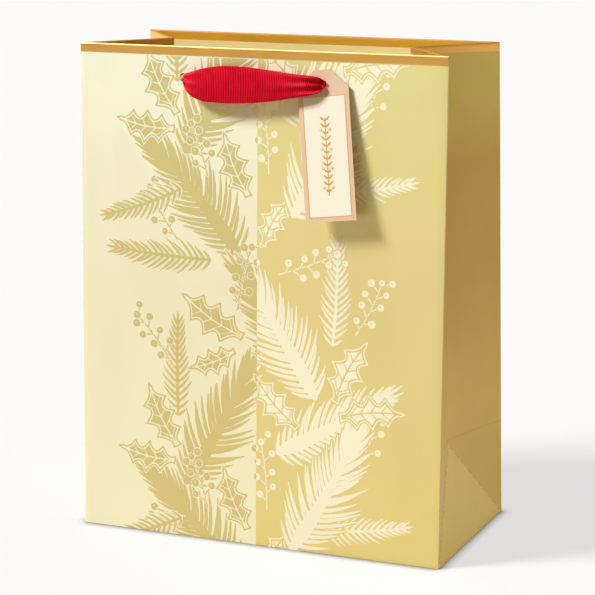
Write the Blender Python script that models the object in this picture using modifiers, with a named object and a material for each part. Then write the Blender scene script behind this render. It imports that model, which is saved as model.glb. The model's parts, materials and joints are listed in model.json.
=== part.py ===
"""Gift bag: a square-bottomed paper bag with folded side gussets, two ribbon handles and a tag.

Frame: metres, +Z up. The origin is the centre of the bag's rectangular footprint, on the
surface it stands on. +X is the viewer's right and -Y is the front.

The bag is folded from one sheet of paper. It is modelled as the stiff panels between the
creases, because those are the pieces that turn against each other.
"""

import math

import bmesh
import bpy
import numpy as np
from mathutils import Matrix, Vector

# --- driving dimensions -------------------------------------------------------------------
WIDTH = 0.260             # across the front panel
DEPTH = 0.134             # across the base, front to back
PANEL_LENGTH = 0.3325     # from the base crease to the rim, along the panel
FRONT_LEAN = math.radians(1.8)   # the front panel leans in towards the mouth
BACK_LEAN = math.radians(3.4)    # and so does the back panel

PAPER = 0.0004            # thickness of the printed sheet
CARD = 0.0005             # reinforcing card inside the turned hem
BOARD = 0.0012            # loose grey board that stiffens the base
GAP = 0.0003              # clearance between pieces that touch

HEM_LENGTH = 0.040        # how far the rim is turned in
CARD_LENGTH = 0.034
CREASE_INSET = 0.0006     # the gusset's sheets stop this far short of a crease

HOLE_SPACING = 0.107      # between the two ribbon holes of a panel
HOLE_FROM_RIM = 0.0205
HOLE_RADIUS = 0.003

RIBBON_WIDTH = 0.024      # at the middle of the bow
RIBBON_NECK = 0.004       # gathered width at each hole
RIBBON_THICKNESS = 0.0008
RIBBON_STAND_OFF = 0.0032 # from the panel to the ribbon at a hole
RIBBON_BULGE = 0.0065     # extra stand-off at the middle of the bow
RIBBON_SQUARENESS = 8     # how suddenly the bow turns back at its ends
RIBBON_SAG = 0.0018       # the bow's middle hangs this far below the holes
RIBBON_CUP = 0.0012       # its edges curl back towards the panel
HANDLE_AXIS_OFF = 0.0016  # the handle turns about a line this far outside the panel

TAIL_LENGTH = 0.085       # ribbon that hangs inside the bag below each hole
TAIL_WIDTH = 0.010
TAIL_THICKNESS = 0.001
KNOT_RADII = (0.0060, 0.0040, 0.0050)

TAG_WIDTH = 0.035
TAG_LENGTH = 0.097
TAG_CHAMFER = 0.0118      # cut off both top corners
TAG_HOLE_FROM_TOP = 0.009
TAG_X = 0.046             # the tag hangs on the ribbon a little inside the right-hand hole
TAG_HOLE_RADIUS = 0.0032
TAG_THICKNESS = 0.0005
TAG_TILT = math.radians(6.5)   # its lower end stands off the panel
TAG_ROLL = math.radians(7.0)   # and hangs to the right
NECK_RADIUS = 0.0014      # the gathered ribbon inside the tag's hole
NECK_LENGTH = 0.0016

# --- worked out from them -----------------------------------------------------------------
HALF_WIDTH = WIDTH / 2
HALF_DEPTH = DEPTH / 2
HOLE_HEIGHT = PANEL_LENGTH - HOLE_FROM_RIM
CARD_FACE = PAPER + GAP
HEM_FACE = CARD_FACE + CARD + GAP
LINING_FACE = HEM_FACE + PAPER          # the innermost face at the rim
# The gusset folds inwards about its middle crease. Each half keeps its width, half the
# depth, so the crease moves in by what Pythagoras leaves at the narrower mouth.
FRONT_RIM_Y = -HALF_DEPTH + PANEL_LENGTH * math.sin(FRONT_LEAN)
BACK_RIM_Y = HALF_DEPTH - PANEL_LENGTH * math.sin(BACK_LEAN)
RIM_Z = PANEL_LENGTH * math.cos(FRONT_LEAN)
TIP_INSET = math.sqrt(HALF_DEPTH**2 - ((BACK_RIM_Y - FRONT_RIM_Y) / 2) ** 2)
FOOT_TILT = math.radians(15.3)          # the foot triangle leans in under the fold
FOOT_HEIGHT = HALF_DEPTH                # of that triangle, along its face


# --- scene helpers ------------------------------------------------------------------------
def clear_scene():
    for thing in list(bpy.data.objects):
        bpy.data.objects.remove(thing, do_unlink=True)


def new_collection(name):
    collection = bpy.data.collections.new(name)
    bpy.context.scene.collection.children.link(collection)
    return collection


def material(name, colour, roughness, metallic=0.0):
    made = bpy.data.materials.new(name)
    made.use_nodes = True
    shader = made.node_tree.nodes["Principled BSDF"]
    shader.inputs["Base Color"].default_value = (*colour, 1.0)
    shader.inputs["Roughness"].default_value = roughness
    shader.inputs["Metallic"].default_value = metallic
    made.diffuse_color = (*colour, 1.0)
    return made


def add_object(name, data, parent=None, finish=None, collection=None):
    thing = bpy.data.objects.new(name, data)
    (collection or BAG).objects.link(thing)
    if finish:
        thing.data.materials.append(finish)
    thing.parent = parent
    return thing


def empty(name, location, rotation=(0, 0, 0), parent=None):
    thing = add_object(name, None, parent)
    thing.location = location
    thing.rotation_euler = rotation
    return thing


def mesh_from(build):
    """A mesh made by a function that fills an empty bmesh."""
    bm = bmesh.new()
    build(bm)
    mesh = bpy.data.meshes.new("mesh")
    bm.to_mesh(mesh)
    bm.free()
    return mesh


def plate(name, x_range, y_range, z_range, finish, parent=None):
    """A flat rectangular piece between the given limits."""
    low = Vector((x_range[0], y_range[0], z_range[0]))
    high = Vector((x_range[1], y_range[1], z_range[1]))
    place = Matrix.Translation((low + high) / 2) @ Matrix.Diagonal((*(high - low), 1))
    mesh = mesh_from(lambda bm: bmesh.ops.create_cube(bm, size=1, matrix=place))
    return add_object(name, mesh, parent, finish)


def outline_plate(name, outlines, thickness, finish, parent=None):
    """A flat piece in the XY plane from closed outlines; inner ones become holes."""
    curve = bpy.data.curves.new(name, "CURVE")
    curve.dimensions = "2D"
    curve.fill_mode = "BOTH"
    curve.extrude = thickness / 2
    for outline in outlines:
        spline = curve.splines.new("POLY")
        spline.points.add(len(outline) - 1)
        for point, (x, y) in zip(spline.points, outline):
            point.co = (x, y, 0, 1)
        spline.use_cyclic_u = True
    return add_object(name, curve, parent, finish)


def circle_points(centre, radius, count=24):
    turns = np.linspace(0, 2 * math.pi, count, endpoint=False)
    return [(centre[0] + radius * math.cos(a), centre[1] + radius * math.sin(a)) for a in turns]


def sheet(name, points, thickness, finish, parent=None):
    """A curved thin piece: a grid of points, thickened evenly to both sides."""
    rows, columns = len(points), len(points[0])

    def fill(bm):
        grid = [[bm.verts.new(point) for point in row] for row in points]
        for i in range(rows - 1):
            for j in range(columns - 1):
                bm.faces.new((grid[i][j], grid[i][j + 1], grid[i + 1][j + 1], grid[i + 1][j]))

    thing = add_object(name, mesh_from(fill), parent, finish)
    solid = thing.modifiers.new("thickness", "SOLIDIFY")
    solid.thickness = thickness
    solid.offset = 0
    return thing


def cut(thing, cutter, operation="DIFFERENCE"):
    boolean = thing.modifiers.new("cut", "BOOLEAN")
    boolean.operation = operation
    boolean.object = cutter


def rod_across(name, x, z, y_range, radius, parent):
    """A short rod along Y, kept with the cutters."""
    length = y_range[1] - y_range[0]
    place = Matrix.Translation((x, sum(y_range) / 2, z)) @ Matrix.Rotation(math.pi / 2, 4, "X")

    def fill(bm):
        bmesh.ops.create_cone(bm, cap_ends=True, segments=24, radius1=radius,
                              radius2=radius, depth=length, matrix=place)

    rod = add_object(name, mesh_from(fill), parent, collection=CUTTERS)
    rod.hide_render = True
    rod.display_type = "WIRE"
    return rod


# --- base ---------------------------------------------------------------------------------
def make_base():
    """The glued bottom flaps, the tucked side flaps and the board that lies on them."""
    edge_x = HALF_WIDTH - 0.0015
    edge_y = HALF_DEPTH - 0.0010
    front_flap_end = 0.025
    plate("bottom_front_flap", (-edge_x, edge_x), (-edge_y, front_flap_end), (0, PAPER), PLAIN)

    # The back flap lies on the floor, steps up and overlaps the front flap.
    lap = PAPER + GAP
    step = front_flap_end + 2 * GAP
    profile = [(edge_y, 0), (edge_y, PAPER), (step + PAPER, PAPER), (step + PAPER, lap + PAPER),
               (front_flap_end - 0.030, lap + PAPER), (front_flap_end - 0.030, lap),
               (step, lap), (step, 0)]
    back_flap = outline_plate("bottom_back_flap", [profile], 2 * edge_x, PLAIN)
    # The outline's X is the bag's Y and its Y is the bag's Z.
    back_flap.rotation_euler = (math.pi / 2, 0, math.pi / 2)

    tuck_z = lap + PAPER + GAP
    tuck_reach = 0.052
    for side, name in ((-1, "bottom_left_tuck"), (1, "bottom_right_tuck")):
        outer = side * edge_x
        inner = side * (edge_x - tuck_reach)
        taper = edge_y - tuck_reach
        outline = [(outer, -edge_y), (outer, edge_y), (inner, taper), (inner, -taper)]
        tuck = outline_plate(name, [outline], PAPER, PLAIN)
        tuck.location.z = tuck_z + PAPER / 2

    board_z = tuck_z + PAPER + GAP
    plate("base_board", (-HALF_WIDTH + 0.003, HALF_WIDTH - 0.003),
          (-HALF_DEPTH + 0.0025, HALF_DEPTH - 0.0025), (board_z, board_z + BOARD), BOARD_GREY)


# --- side gussets -------------------------------------------------------------------------
def patch_point(corners, u, v):
    """A point of the four-cornered sheet: u runs from its outer edge to its crease, v up."""
    bottom = corners[0].lerp(corners[1], u)
    top = corners[3].lerp(corners[2], u)
    return bottom.lerp(top, v)


def patch_grid(corners, u_range, v_range, offset, steps=(4, 12)):
    """Points of part of the sheet, moved by offset towards the inside of the bag."""
    normal = (corners[2] - corners[0]).cross(corners[3] - corners[1]).normalized()
    if normal.dot(Vector((0, 0, RIM_Z / 2)) - corners[0]) < 0:
        normal.negate()
    rows = np.linspace(*v_range, steps[1])
    columns = np.linspace(*u_range, steps[0])
    return [[patch_point(corners, u, v) + normal * offset for u in columns] for v in rows]


def make_gusset(side, name):
    """One side of the bag: a foot triangle, two folded halves and their turned hems."""
    edge_x = side * (HALF_WIDTH - PAPER)
    lift = 2 * GAP
    apex = Vector((edge_x - side * FOOT_HEIGHT * math.sin(FOOT_TILT), 0,
                   FOOT_HEIGHT * math.cos(FOOT_TILT)))
    tip = Vector((side * (HALF_WIDTH - TIP_INSET), (FRONT_RIM_Y + BACK_RIM_Y) / 2, RIM_Z))

    # The panels' inner faces, where the halves end.
    clear = PAPER + GAP + PAPER / 2
    feet = {-1: Vector((edge_x, -HALF_DEPTH + clear, lift)),
            1: Vector((edge_x, HALF_DEPTH - clear, lift))}
    rims = {-1: Vector((edge_x, FRONT_RIM_Y + clear, RIM_Z)),
            1: Vector((edge_x, BACK_RIM_Y - clear, RIM_Z))}

    # The foot is a triangle, so its grid narrows to the apex.
    inset = CREASE_INSET / HALF_DEPTH
    rows = []
    for v in np.linspace(0, 1 - 4 * inset, 9):
        margin = inset * (1 + 3 * v)
        left = feet[-1].lerp(apex, v)
        right = feet[1].lerp(apex, v)
        rows.append([left.lerp(right, u) for u in np.linspace(margin, 1 - margin, 5)])
    sheet(f"{name}_gusset_foot", rows, PAPER, GOLD)

    start = CREASE_INSET * 2 / PANEL_LENGTH
    for facing, word in ((-1, "front"), (1, "back")):
        corners = (feet[facing], apex, tip, rims[facing])
        grid = patch_grid(corners, (0, 1 - inset), (start, 1), 0)
        sheet(f"{name}_gusset_{word}_half", grid, PAPER, GOLD)
        hem_start = 1 - HEM_LENGTH / PANEL_LENGTH
        grid = patch_grid(corners, (0.055, 1 - 2 * inset), (hem_start, 1), PAPER + GAP, (4, 3))
        sheet(f"{name}_gusset_{word}_hem", grid, PAPER, GOLD)


# --- front and back panels ----------------------------------------------------------------
def make_panel(word, pivot):
    """A panel in its pivot's frame: Y points into the bag and Z runs up the panel."""
    panel = plate(f"{word}_panel", (-HALF_WIDTH, HALF_WIDTH), (0, PAPER), (GAP, PANEL_LENGTH),
                  CREAM, pivot)
    card_top = PANEL_LENGTH - GAP
    card = plate(f"{word}_reinforcing_card", (-HALF_WIDTH + 0.004, HALF_WIDTH - 0.004),
                 (CARD_FACE, CARD_FACE + CARD), (card_top - CARD_LENGTH, card_top), BOARD_GREY, pivot)
    hem = plate(f"{word}_hem", (-HALF_WIDTH + 0.0045, HALF_WIDTH - 0.0045),
                (HEM_FACE, LINING_FACE), (PANEL_LENGTH - HEM_LENGTH, PANEL_LENGTH), CREAM, pivot)
    for side, hand in ((-1, "left"), (1, "right")):
        x = side * HOLE_SPACING / 2
        cutter = rod_across(f"{word}_{hand}_hole", x, HOLE_HEIGHT, (-0.005, 0.005), HOLE_RADIUS, pivot)
        for thing in (panel, card, hem):
            cut(thing, cutter)
        make_tail(f"{word}_{hand}", x, pivot)


def make_tail(name, x, pivot):
    """The ribbon's end: it comes through the hole, hangs inside the bag and ends in a knot."""
    face = LINING_FACE + 2 * GAP
    top = HOLE_HEIGHT + 0.003
    bottom = HOLE_HEIGHT - TAIL_LENGTH
    tail = plate(f"{name}_ribbon_tail", (x - TAIL_WIDTH / 2, x + TAIL_WIDTH / 2),
                 (face, face + TAIL_THICKNESS), (bottom, top), RED, pivot)
    neck = rod_across(f"{name}_neck", x, HOLE_HEIGHT, (-0.0002, face + TAIL_THICKNESS / 2),
                      0.0018, pivot)
    cut(tail, neck, "UNION")

    place = Matrix.Translation((x, face + KNOT_RADII[1], bottom - GAP - KNOT_RADII[2]))
    place = place @ Matrix.Diagonal((*KNOT_RADII, 1))

    def fill(bm):
        bmesh.ops.create_uvsphere(bm, u_segments=16, v_segments=10, radius=1, matrix=place)

    knot = add_object(f"{name}_knot", mesh_from(fill), pivot, RED)
    knot.data.shade_smooth()


def make_seam_flap(pivot):
    """The glue flap that closes the sheet, inside the back panel at the bag's left side."""
    outer = HALF_WIDTH - 0.0030
    plate("side_seam_flap", (outer - 0.015, outer), (CARD_FACE, CARD_FACE + PAPER),
          (0.006, PANEL_LENGTH - HEM_LENGTH - 0.001), PLAIN, pivot)


# --- ribbon handles and tag ---------------------------------------------------------------
def make_ribbon(word, axis, left, right):
    """The bow of ribbon outside the panel, gathered at both ends, from x = left to right."""
    middle, half = (left + right) / 2, (right - left) / 2
    rows = []
    for t in np.linspace(-1, 1, 25):
        fullness = 1 - abs(t) ** RIBBON_SQUARENESS
        half_width = RIBBON_NECK / 2 + (RIBBON_WIDTH - RIBBON_NECK) / 2 * (1 - t * t) ** 0.7
        y = HANDLE_AXIS_OFF - RIBBON_STAND_OFF - RIBBON_BULGE * fullness
        z = -RIBBON_SAG * fullness
        rows.append([(middle + half * t, y + RIBBON_CUP * fullness * s * s, z + half_width * s)
                     for s in np.linspace(-1, 1, 7)])
    return sheet(f"{word}_ribbon", rows, RIBBON_THICKNESS, RED, axis)


def make_tag(hanger):
    """The card tag, in its own plane: X across it, Y up it, the origin at its hole."""
    top = TAG_HOLE_FROM_TOP
    bottom = top - TAG_LENGTH
    side = TAG_WIDTH / 2
    shoulder = side - TAG_CHAMFER
    outline = [(-side, bottom), (side, bottom), (side, top - TAG_CHAMFER), (shoulder, top),
               (-shoulder, top), (-side, top - TAG_CHAMFER)]
    hole = circle_points((0, 0), TAG_HOLE_RADIUS)
    outline_plate("tag_card", [outline, hole], TAG_THICKNESS, BLUSH, hanger)


def make_neck(hanger):
    """The stretch of gathered ribbon that passes through the tag's hole."""
    def fill(bm):
        bmesh.ops.create_cone(bm, cap_ends=True, segments=20, radius1=NECK_RADIUS,
                              radius2=NECK_RADIUS, depth=NECK_LENGTH)

    add_object("front_ribbon_neck", mesh_from(fill), hanger, RED)


clear_scene()
BAG = new_collection("gift_bag")
CUTTERS = new_collection("cutters")
CREAM = material("printed_paper", (0.90, 0.84, 0.62), 0.45)
GOLD = material("gold_paper", (0.55, 0.38, 0.12), 0.45, 0.1)
PLAIN = material("plain_paper", (0.88, 0.87, 0.84), 0.8)
BOARD_GREY = material("grey_board", (0.55, 0.53, 0.50), 0.9)
RED = material("red_ribbon", (0.55, 0.005, 0.02), 0.5)
BLUSH = material("tag_card", (0.85, 0.60, 0.48), 0.6)

make_base()
make_gusset(-1, "left")
make_gusset(1, "right")

front_pivot = empty("front_pivot", (0, -HALF_DEPTH, 0), (-FRONT_LEAN, 0, 0))
back_pivot = empty("back_pivot", (0, HALF_DEPTH, 0), (-BACK_LEAN, 0, math.pi))
make_panel("front", front_pivot)
make_panel("back", back_pivot)
make_seam_flap(back_pivot)

axis_place = (0, -HANDLE_AXIS_OFF, HOLE_HEIGHT)
front_axis = empty("front_handle_axis", axis_place, parent=front_pivot)
back_axis = empty("back_handle_axis", axis_place, parent=back_pivot)
hole_x = HOLE_SPACING / 2
make_ribbon("front", front_axis, -hole_x + 0.001, TAG_X + 0.0005)
make_ribbon("back", back_axis, -hole_x + 0.001, hole_x - 0.001)

# The tag's plane stands up on the handle's axis, tips out at the bottom, then rolls.
tag_plane = empty("tag_plane", (TAG_X, 0, 0), (math.pi / 2 - TAG_TILT, 0, 0), front_axis)
tag_hanger = empty("tag_hanger", (0, 0, 0), (0, 0, TAG_ROLL), tag_plane)
make_neck(tag_hanger)
make_tag(tag_hanger)
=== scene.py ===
"""Looks of the gift bag: folded printed paper, foil rim, grosgrain ribbon handles and a card tag."""
import json
import math
from math import cos, pi, sin

import bmesh
import bpy
import numpy as np
from mathutils import Matrix, Vector
from mathutils.geometry import delaunay_2d_cdt


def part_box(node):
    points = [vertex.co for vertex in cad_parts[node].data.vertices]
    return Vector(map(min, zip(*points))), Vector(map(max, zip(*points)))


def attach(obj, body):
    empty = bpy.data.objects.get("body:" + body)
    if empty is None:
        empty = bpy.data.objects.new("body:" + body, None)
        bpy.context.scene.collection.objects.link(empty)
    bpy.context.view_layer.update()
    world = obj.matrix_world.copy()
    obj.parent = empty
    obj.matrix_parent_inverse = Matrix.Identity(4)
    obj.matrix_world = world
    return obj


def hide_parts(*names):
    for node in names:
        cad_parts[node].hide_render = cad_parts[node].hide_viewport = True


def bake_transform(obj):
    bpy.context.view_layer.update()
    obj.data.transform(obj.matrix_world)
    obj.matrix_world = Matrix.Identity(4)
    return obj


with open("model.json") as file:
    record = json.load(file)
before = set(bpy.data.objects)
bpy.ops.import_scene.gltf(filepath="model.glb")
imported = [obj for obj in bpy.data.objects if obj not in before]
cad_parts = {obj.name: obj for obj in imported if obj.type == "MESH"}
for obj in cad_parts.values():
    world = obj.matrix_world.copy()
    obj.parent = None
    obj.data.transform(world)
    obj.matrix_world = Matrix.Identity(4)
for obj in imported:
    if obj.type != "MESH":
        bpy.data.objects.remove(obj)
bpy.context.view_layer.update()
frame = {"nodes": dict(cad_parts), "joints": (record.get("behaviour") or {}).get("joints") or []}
MM = 0.001

# --- measures read from the frame ---
joints = {joint["name"]: joint for joint in frame["joints"]}
front_low, front_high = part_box("front_panel")
back_low, back_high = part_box("back_panel")
flap_low, flap_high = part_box("bottom_front_flap")
foot_low, foot_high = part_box("right_gusset_foot")

WIDTH = front_high.x - front_low.x
CAD_SHEET = flap_high.z - flap_low.z
FRONT_PIVOT = Vector(joints["front_lean"]["pos_m"])
BACK_PIVOT = Vector(joints["back_lean"]["pos_m"])
DEPTH = BACK_PIVOT.y - FRONT_PIVOT.y
FRONT_RISE = Vector((0, front_high.y - CAD_SHEET - FRONT_PIVOT.y, front_high.z))
BACK_RISE = Vector((0, back_low.y + CAD_SHEET - BACK_PIVOT.y, back_high.z))
LENGTH = FRONT_RISE.length          # up a panel, from the base crease to the rim
HEM = (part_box("front_hem")[1].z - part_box("front_hem")[0].z) / FRONT_RISE.normalized().z
HANDLE_AXIS = Vector(joints["front_handle_swing"]["pos_m"])
TAG_HOLE = Vector(joints["tag_swing"]["pos_m"])
TAG_OUT = Vector(joints["tag_swing"]["axis"])
TAG_TOP = Vector(joints["tag_lift"]["pos_m"])
KNOT_LOW, KNOT_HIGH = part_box("front_right_knot")
HOLE_X = (KNOT_LOW.x + KNOT_HIGH.x) / 2

# --- looks ---
SHEET = 0.35 * MM                   # paper thickness that shows at an edge
CORNER = 0.5 * MM                   # radius of a crease along a panel's side
RIM_RADIUS = 0.9 * MM               # the turned rim goes round the reinforcing card
FOIL_BAND = 6.2 * MM
HOLE_RADIUS = 2.9 * MM
PANEL_HEM_INSET = 1.6 * MM          # the turned rim ends this far short of a panel's sides
RIPPLE_HEIGHT = 0.22 * MM


class Face:
    """A flat face of the bag, with its own directions across, up and out of it."""

    def __init__(self, origin, across, up):
        self.origin = Vector(origin)
        self.across = Vector(across).normalized()
        self.up = Vector(up).normalized()
        self.out = self.across.cross(self.up)

    def at(self, x, height, out=0.0):
        return self.origin + self.across * x + self.up * height + self.out * out


FRONT = Face(FRONT_PIVOT, (1, 0, 0), FRONT_RISE)
BACK = Face(BACK_PIVOT, (-1, 0, 0), BACK_RISE)
HOLE_HEIGHT = (HANDLE_AXIS - FRONT.origin).dot(FRONT.up)


# --- materials ---
def srgb(red, green, blue):
    """A display colour, 0 to 255, as the linear values a shader takes."""
    return tuple((c / 255 / 12.92) if c < 10.3 else ((c / 255 + 0.055) / 1.055) ** 2.4
                 for c in (red, green, blue))


class Finish:
    """A node material, built up with a few short calls."""

    def __init__(self, name, colour, roughness, metallic=0.0, **sockets):
        self.material = bpy.data.materials.new(name)
        self.material.use_nodes = True
        self.tree = self.material.node_tree
        self.shader = self.tree.nodes["Principled BSDF"]
        self.colour = colour
        self.set(self.shader, Base_Color=(*colour, 1), Roughness=roughness, Metallic=metallic, **sockets)
        self.coordinates = self.node("ShaderNodeTexCoord").outputs["Object"]
        self.height = None

    def set(self, node, **sockets):
        """Sets a node's sockets, whose names are written with _ for a space."""
        for name, value in sockets.items():
            node.inputs[name.replace("_", " ")].default_value = value

    def node(self, kind, **settings):
        made = self.tree.nodes.new(kind)
        for name, value in settings.items():
            setattr(made, name, value)
        return made

    def link(self, output, target):
        self.tree.links.new(output, target)

    def noise(self, scale, detail, stretch=(1, 1, 1)):
        """Noise in object coordinates, which stretch multiplies along each axis."""
        mapping = self.node("ShaderNodeMapping")
        self.set(mapping, Scale=stretch)
        self.link(self.coordinates, mapping.inputs["Vector"])
        texture = self.node("ShaderNodeTexNoise")
        self.set(texture, Scale=scale, Detail=detail, Roughness=0.55)
        self.link(mapping.outputs["Vector"], texture.inputs["Vector"])
        return texture.outputs["Fac"]

    def ranged(self, value, low, high, to_low, to_high):
        spread = self.node("ShaderNodeMapRange")
        self.set(spread, From_Min=low, From_Max=high, To_Min=to_low, To_Max=to_high)
        self.link(value, spread.inputs["Value"])
        return spread.outputs["Result"]

    def mixed(self, value, first, second):
        mix = self.node("ShaderNodeMix", data_type="RGBA")
        self.link(value, mix.inputs["Factor"])
        self.set(mix, A=(*first, 1), B=(*second, 1))
        return mix.outputs["Result"]

    def vary(self, value, amount):
        """The colour goes from darker to lighter by amount as the noise in value rises."""
        darker = tuple(c * (1 - amount) for c in self.colour)
        lighter = tuple(min(1.0, c * (1 + amount)) for c in self.colour)
        self.link(self.mixed(self.ranged(value, 0.3, 0.7, 0, 1), darker, lighter),
                  self.shader.inputs["Base Color"])

    def roughen(self, value, low, high):
        self.link(self.ranged(value, 0.3, 0.7, low, high), self.shader.inputs["Roughness"])

    def bump(self, value, distance, strength=1.0):
        bump = self.node("ShaderNodeBump")
        self.set(bump, Strength=strength, Distance=distance)
        self.link(value, bump.inputs["Height"])
        if self.height is not None:
            self.link(self.height, bump.inputs["Normal"])
        self.height = bump.outputs["Normal"]
        self.link(self.height, self.shader.inputs["Normal"])

    def coat(self, roughness):
        """The surface of coated paper: an uneven gloss, a fine fibre grain and a slight ripple."""
        self.roughen(self.noise(60, 4), roughness - 0.05, roughness + 0.06)
        self.bump(self.noise(900, 3), 0.02 * MM, 0.5)
        self.bump(self.noise(28, 2), 0.15 * MM, 0.25)


def paper(name, colour, roughness, metallic=0.0, tone=0.03):
    """Coated art paper in one colour with a faint cloudy tone."""
    made = Finish(name, colour, roughness, metallic)
    made.vary(made.noise(9, 3), tone)
    made.coat(roughness)
    return made.material


def foil(name, colour):
    """Hot-stamped foil: a matt metal with fine scuffs and a slight ripple."""
    made = Finish(name, colour, 0.36, 0.75)
    made.vary(made.noise(30, 2), 0.05)
    made.roughen(made.noise(180, 4, stretch=(0.3, 1, 1)), 0.31, 0.44)
    made.bump(made.noise(50, 2), 0.05 * MM, 0.3)
    return made.material


def print_finish(name, tones, roughness, metallic=0.0, crease=None):
    """Printed paper whose tone is set by height up the bag, as painted light and shade: tones are
    display colours, evenly from base to rim, and crease is the height of a sharp fold across it."""
    tones = [srgb(*tone) for tone in tones]
    made = Finish(name, tones[1], roughness, metallic, Specular_IOR_Level=0.2)
    split = made.node("ShaderNodeSeparateXYZ")
    made.link(made.coordinates, split.inputs["Vector"])
    # Painted light and shade: the tone follows the height up the bag.
    up = made.ranged(split.outputs["Z"], 0.0, LENGTH, 0.0, 0.9)
    cloud = made.ranged(made.noise(9, 3), 0.3, 0.7, 0.0, 0.1)
    total = made.node("ShaderNodeMath", operation="ADD")
    made.link(up, total.inputs[0])
    made.link(cloud, total.inputs[1])
    ramp = made.node("ShaderNodeValToRGB")
    made.link(total.outputs["Value"], ramp.inputs["Fac"])
    stops = ramp.color_ramp.elements
    for k in range(1, len(tones) - 1):
        stops.new(k / (len(tones) - 1))
    for stop, tone in zip(stops, tones):
        stop.color = (*tone, 1)
    made.link(ramp.outputs["Color"], made.shader.inputs["Base Color"])
    made.coat(roughness)
    if crease is not None:
        away = made.node("ShaderNodeMath", operation="SUBTRACT")
        made.link(split.outputs["Z"], away.inputs[0])
        away.inputs[1].default_value = crease
        made.bump(made.ranged(away.outputs["Value"], -0.8 * MM, 0.8 * MM, 0, 1), 0.35 * MM, 1.0)
    return made.material


# The grounds and inks below change tone with height up the bag as painted light and shade.
CREAM = print_finish("cream_ground", [(232, 231, 202), (227, 224, 199), (231, 239, 222)], 0.42)
CREAM_INK = print_finish("cream_ink", [(235, 234, 213), (234, 233, 212), (236, 238, 217)], 0.45)
GOLD = print_finish("gold_ground", [(224, 207, 135), (223, 207, 143), (226, 220, 155)], 0.4, 0.4)
GOLD_INK = print_finish("gold_ink", [(209, 194, 132), (207, 191, 129), (209, 202, 142)], 0.4, 0.4)
# The right gusset's gold is a darker, deeper copy of the gold ground as painted shade. Its tone by
# height, lighter at the foot and rim, is painted light, and its foot triangle takes the same painted
# light.
GUSSET_GOLD_PAINTED_SHADING = print_finish("gusset_gold_painted_shading", [(236, 204, 110), (229, 197, 112), (210, 177, 99),
                                           (212, 180, 97), (235, 218, 128)], 0.4, 0.4, DEPTH / 2)
LIT_FOOT_GOLD = print_finish("gusset_foot_gold_painted_light", [(233, 206, 111)] * 2, 0.4, 0.3)
# The left gusset's cream is a darkened copy of the cream ground: painted shade that keeps its sunlit
# side from coming out too bright.
SHADED_GUSSET_CREAM = print_finish("gusset_cream_painted_shade", [(200, 196, 164), (198, 193, 162), (200, 198, 172)],
                            0.42)
# The hem inside the rim is a lightened copy of the gold: painted light that offsets the shade inside the
# bag.
LIT_INNER_GOLD = print_finish("inner_gold_painted_light", [(236, 218, 155)] * 2, 0.42)
FOIL = foil("rim_foil", srgb(214, 166, 85))
# Copies of the foil for faces in other light. The gusset foil and the panels' inner foil are lightened
# as painted light, and the gussets' inner foil is darkened as painted shade.
LIT_SIDE_FOIL = foil("side_rim_foil_painted_light", srgb(250, 192, 100))
INNER_FOIL = foil("inner_rim_foil", srgb(255, 200, 80))
SHADED_SIDE_INNER_FOIL = foil("side_inner_rim_foil_painted_shade", srgb(214, 150, 66))
# The front rim's fold is painted pale as a highlight along it. The back rim's fold is a darker gold.
RIM_EDGE = paper("rim_edge", srgb(255, 243, 205), 0.5)
BACK_RIM_EDGE = paper("back_rim_edge", srgb(190, 140, 62), 0.6, 0.2, 0.06)
WHITE = paper("unprinted_paper", srgb(244, 242, 236), 0.7)
WORN = Finish("worn_crease", srgb(248, 236, 190), 0.7)
WORN.link(WORN.mixed(WORN.ranged(WORN.noise(420, 3), 0.46, 0.56, 0, 1), srgb(233, 206, 111),
                     srgb(252, 242, 205)), WORN.shader.inputs["Base Color"])
WORN.bump(WORN.noise(600, 3), 0.12 * MM)
BOARD = paper("grey_board", srgb(176, 168, 155), 0.9, tone=0.10)
BLUSH = paper("blush_card", srgb(212, 181, 157), 0.6, tone=0.02)
TAG_CREAM = paper("tag_panel", srgb(225, 224, 212), 0.55, tone=0.015)
TAG_GOLD = paper("tag_ink", srgb(214, 170, 88), 0.4, 0.5, 0.04)


def grosgrain(name, colour):
    """Ribbed ribbon: dyed polyester with a fine thread grain and a soft satin gloss."""
    made = Finish(name, colour, 0.5, 0.0, Specular_IOR_Level=0.1)
    made.vary(made.noise(160, 4), 0.12)
    made.roughen(made.noise(300, 3), 0.38, 0.55)
    made.bump(made.noise(2400, 2, stretch=(0.35, 1, 1)), 0.05 * MM, 0.6)
    return made.material


RED = grosgrain("red_grosgrain", srgb(214, 8, 46))
# A darker copy of the red, for painted shade in the ribs' grooves and in the hollow end by the tag.
RED_GROOVE_SHADE = grosgrain("red_grosgrain_painted_groove_shade", srgb(160, 2, 22))


# --- mesh helpers ---
def add_object(name, data):
    thing = bpy.data.objects.new(name, data)
    bpy.context.scene.collection.objects.link(thing)
    return thing


def add_bmesh(name, bm):
    mesh = bpy.data.meshes.new(name)
    bm.to_mesh(mesh)
    bm.free()
    return add_object(name, mesh)


def add_mesh(name, points, faces, materials, slots=None, smooth_angle=None):
    mesh = bpy.data.meshes.new(name)
    mesh.from_pydata([tuple(p) for p in points], [], faces)
    for finish in materials:
        mesh.materials.append(finish)
    if slots is not None:
        mesh.polygons.foreach_set("material_index", np.asarray(slots, np.int32))
    mesh.update()
    if smooth_angle is not None:
        mesh.shade_smooth()
        mesh.set_sharp_from_angle(angle=math.radians(smooth_angle))
    return add_object(name, mesh)


def ring_faces(rings, points):
    """The faces between rings that each have the same number of points."""
    index = np.arange(rings * points).reshape(rings, points)
    turned = np.roll(index, -1, axis=1)
    return np.stack([index[:-1], index[1:], turned[1:], turned[:-1]], axis=-1).reshape(-1, 4).tolist()


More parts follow.
